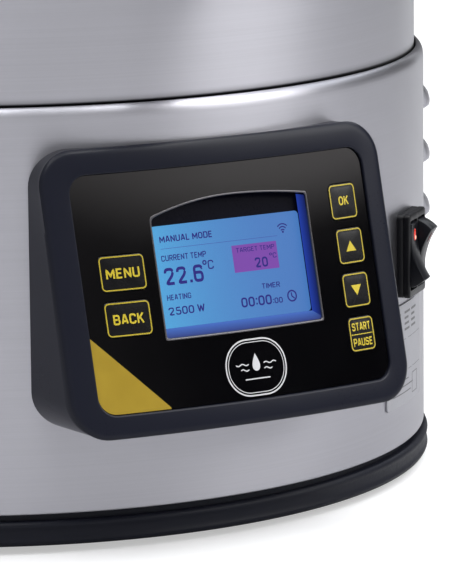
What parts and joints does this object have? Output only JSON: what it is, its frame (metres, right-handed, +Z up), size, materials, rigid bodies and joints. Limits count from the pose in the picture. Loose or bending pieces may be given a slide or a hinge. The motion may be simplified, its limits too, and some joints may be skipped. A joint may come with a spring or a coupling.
{
  "type": "electric all-in-one brewer",
  "caption": "Tall round steel brewing boiler on a heater base with a tilted control panel, rocker switches, tap, pump return arm, lift-out malt pipe and glass lid.",
  "frame": {"origin": "on the boiler's axis, in the plane of the bottom cover's underside, 3 mm above the surface that the feet stand on", "axes": "+Z up the boiler's axis, the control panel and the tap face -Y, the return line is on the +Y side"},
  "size_m": [0.423, 0.4503, 0.727],
  "materials": {
    "base_black": "satin moulded",
    "cover_steel": "brushed",
    "foot_rubber": "matte",
    "shell_steel": "fine horizontal brushing",
    "boiler_steel": "fine horizontal brushing",
    "pipe_steel": "brushed and perforated",
    "panel_slate": "satin",
    "panel_gloss": "gloss with yellow print",
    "lcd_frame": "satin",
    "lcd_screen": "lit blue",
    "circuit_board": "solder mask",
    "switch_black": "satin",
    "switch_lens": "clear red",
    "label_silver": "satin foil",
    "gland_black": "satin",
    "pump_plastic": "satin",
    "cast_aluminium": "as cast",
    "sensor_black": "satin",
    "fitting_steel": "polished stainless",
    "nut_brass": "machined",
    "sleeve_rubber": "dipped vinyl",
    "lever_red": "powder coated",
    "silicone": "translucent matte",
    "handle_black": "satin",
    "lid_glass": "clear tempered",
    "lid_steel": "polished stainless",
    "knob_black": "satin"
  },
  "bodies": {
    "base": {"base_ring": "base_black", "bottom_cover": "cover_steel", "foot_front_right": "foot_rubber", "foot_back_right": "foot_rubber", "foot_back_left": "foot_rubber", "foot_front_left": "foot_rubber", "lower_shell": "shell_steel", "support_ring": "cover_steel", "panel_housing": "panel_slate", "panel_bezel": "panel_slate", "panel_overlay": "panel_gloss", "lcd_surround": "lcd_frame", "lcd_module": "lcd_screen", "control_board": "circuit_board", "switch_backing": "switch_black", "switch_frame": "switch_black", "rating_label": "label_silver", "cable_gland": "gland_black", "gland_nut": "gland_black", "pump_motor": "cast_aluminium", "pump_volute": "pump_plastic", "suction_hose": "silicone", "pressure_hose": "silicone", "heater_ring": "cast_aluminium", "thermal_cutout": "sensor_black", "temperature_probe": "fitting_steel", "relay_board": "circuit_board", "boiler": "boiler_steel", "handle_right": "handle_black", "handle_left": "handle_black", "tap_body": "fitting_steel", "tap_locknut": "nut_brass", "dip_tube": "fitting_steel", "return_valve": "fitting_steel", "return_pipe": "fitting_steel"},
    "key_menu": {"key_menu": "panel_gloss"},
    "key_back": {"key_back": "panel_gloss"},
    "key_ok": {"key_ok": "panel_gloss"},
    "key_up": {"key_up": "panel_gloss"},
    "key_down": {"key_down": "panel_gloss"},
    "key_start_pause": {"key_start_pause": "panel_gloss"},
    "rocker_power": {"rocker_power": "switch_black", "rocker_power_lens": "switch_lens"},
    "rocker_pump": {"rocker_pump": "switch_black", "rocker_pump_lens": "switch_lens"},
    "impeller": {"pump_impeller": "pump_plastic"},
    "tap_handle": {"tap_ball": "fitting_steel", "tap_lever": "fitting_steel", "tap_lever_sleeve": "sleeve_rubber"},
    "malt_pipe": {"malt_pipe": "pipe_steel", "screen_bottom": "pipe_steel", "overflow_pipe": "pipe_steel", "screen_stop": "silicone"},
    "screen_top": {"screen_top": "pipe_steel"},
    "lid": {"lid_glass": "lid_glass", "lid_rim": "lid_steel", "lid_knob": "knob_black"},
    "stopper": {"lid_stopper": "silicone"},
    "return_handle": {"return_lever": "lever_red"},
    "return_arm": {"return_arm": "fitting_steel"}
  },
  "joints": [
    {"name": "key_menu_press", "type": "slide", "parent": "base", "child": "key_menu", "axis": [0.1032, 0.9628, -0.2495], "range_m": [0, 0.0005], "stiffness_N_per_m": 800},
    {"name": "key_back_press", "type": "slide", "parent": "base", "child": "key_back", "axis": [0.1037, 0.9628, -0.2495], "range_m": [0, 0.0005], "stiffness_N_per_m": 800},
    {"name": "key_ok_press", "type": "slide", "parent": "base", "child": "key_ok", "axis": [-0.1179, 0.9613, -0.2491], "range_m": [0, 0.0005], "stiffness_N_per_m": 800},
    {"name": "key_up_press", "type": "slide", "parent": "base", "child": "key_up", "axis": [-0.1192, 0.9611, -0.2491], "range_m": [0, 0.0005], "stiffness_N_per_m": 800},
    {"name": "key_down_press", "type": "slide", "parent": "base", "child": "key_down", "axis": [-0.1188, 0.9612, -0.2491], "range_m": [0, 0.0005], "stiffness_N_per_m": 800},
    {"name": "key_start_pause_press", "type": "slide", "parent": "base", "child": "key_start_pause", "axis": [-0.1181, 0.9612, -0.2491], "range_m": [0, 0.0005], "stiffness_N_per_m": 800},
    {"name": "rocker_power_tilt", "type": "hinge", "parent": "base", "child": "rocker_power", "pos_m": [0.10587, -0.13387, 0.0853], "axis": [0.766, 0.6428, 0], "range_deg": [0, 26]},
    {"name": "rocker_pump_tilt", "type": "hinge", "parent": "base", "child": "rocker_pump", "pos_m": [0.11345, -0.12751, 0.0853], "axis": [0.766, 0.6428, 0], "range_deg": [-26, 0]},
    {"name": "impeller_spin", "type": "hinge", "parent": "base", "child": "impeller", "pos_m": [0, 0, 0.0705], "axis": [0, 0, 1], "continuous": true},
    {"name": "tap_turn", "type": "hinge", "parent": "base", "child": "tap_handle", "pos_m": [0, -0.191, 0.216], "axis": [0, 0, 1], "range_deg": [0, 90]},
    {"name": "malt_pipe_lift", "type": "slide", "parent": "base", "child": "malt_pipe", "axis": [0, 0, 1], "range_m": [0, 0.46]},
    {"name": "screen_top_lift", "type": "slide", "parent": "malt_pipe", "child": "screen_top", "axis": [0, 0, 1], "range_m": [0, 0.115]},
    {"name": "lid_lift", "type": "slide", "parent": "malt_pipe", "child": "lid", "axis": [0, 0, 1], "range_m": [0, 0.2]},
    {"name": "stopper_pull", "type": "slide", "parent": "lid", "child": "stopper", "axis": [0, 0, 1], "range_m": [0, 0.03]},
    {"name": "return_valve_turn", "type": "hinge", "parent": "base", "child": "return_handle", "pos_m": [0, 0.188, 0.15], "axis": [0, -1, 0], "range_deg": [0, 90]},
    {"name": "return_arm_swing", "type": "hinge", "parent": "base", "child": "return_arm", "pos_m": [0, 0.188, 0.69], "axis": [0, 0, -1], "range_deg": [-90, 0]}
  ]
}
